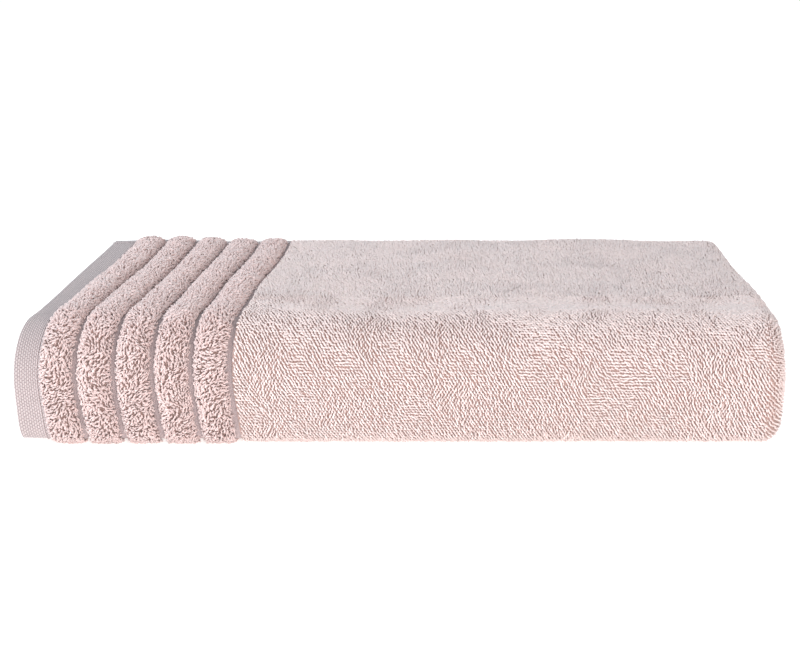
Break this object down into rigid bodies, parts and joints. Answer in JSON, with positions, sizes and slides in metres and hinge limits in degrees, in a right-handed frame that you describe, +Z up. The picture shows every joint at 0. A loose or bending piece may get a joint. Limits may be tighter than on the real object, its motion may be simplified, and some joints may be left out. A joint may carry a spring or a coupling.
{
  "type": "folded bath towel",
  "caption": "Thick terry bath towel folded into a flat packet, with raised pile ribs and a flat woven hem at one end and a rolled front fold.",
  "frame": {"origin": "middle of the underside of the folded packet, in the plane it rests on", "axes": "+Z up; X along the packet, with the hemmed and ribbed end at -X and the lengthwise fold at +X; the rolled front fold faces -Y"},
  "size_m": [0.4412, 0.2524, 0.0728],
  "materials": {
    "blush_terry": "looped cotton terry, matte",
    "blush_rib_pile": "long looped cotton pile, matte",
    "blush_woven_ground": "flat woven cotton",
    "blush_woven_hem": "fine twill weave",
    "blush_thread": "sewing thread",
    "white_label_tape": "blank satin tape"
  },
  "bodies": {
    "base": {"border_ground_base": "blush_woven_ground", "border_ground_front": "blush_woven_ground", "end_hem_base": "blush_woven_hem", "end_hem_front": "blush_woven_hem", "end_hem_stitching_base": "blush_thread", "end_hem_stitching_front": "blush_thread", "hidden_border_base": "blush_woven_ground", "hidden_border_front": "blush_woven_ground", "hidden_end_hem_base": "blush_woven_hem", "hidden_end_hem_front": "blush_woven_hem", "pile_rib_1_base": "blush_rib_pile", "pile_rib_1_front": "blush_rib_pile", "pile_rib_2_base": "blush_rib_pile", "pile_rib_2_front": "blush_rib_pile", "pile_rib_3_base": "blush_rib_pile", "pile_rib_3_front": "blush_rib_pile", "pile_rib_4_base": "blush_rib_pile", "pile_rib_4_front": "blush_rib_pile", "pile_rib_5_base": "blush_rib_pile", "pile_rib_5_front": "blush_rib_pile", "side_hem_stitching_tucked": "blush_thread", "side_hem_tucked": "blush_woven_hem", "terry_field_base": "blush_terry", "terry_field_front": "blush_terry"},
    "top_third": {"border_ground_top": "blush_woven_ground", "care_label": "white_label_tape", "end_hem_stitching_top": "blush_thread", "end_hem_top": "blush_woven_hem", "hidden_border_top": "blush_woven_ground", "hidden_end_hem_top": "blush_woven_hem", "pile_rib_1_top": "blush_rib_pile", "pile_rib_2_top": "blush_rib_pile", "pile_rib_3_top": "blush_rib_pile", "pile_rib_4_top": "blush_rib_pile", "pile_rib_5_top": "blush_rib_pile", "side_hem_back_edge": "blush_woven_hem", "side_hem_stitching_back_edge": "blush_thread", "terry_field_top": "blush_terry"}
  },
  "joints": [
    {"name": "top_third_unfold", "type": "hinge", "parent": "base", "child": "top_third", "pos_m": [0, -0.10692, 0.03645], "axis": [1, 0, 0], "range_deg": [0, 180], "deforming": ["border_ground_front", "end_hem_front", "end_hem_stitching_front", "hidden_border_front", "hidden_end_hem_front", "pile_rib_1_front", "pile_rib_2_front", "pile_rib_3_front", "pile_rib_4_front", "pile_rib_5_front", "terry_field_front"]}
  ]
}
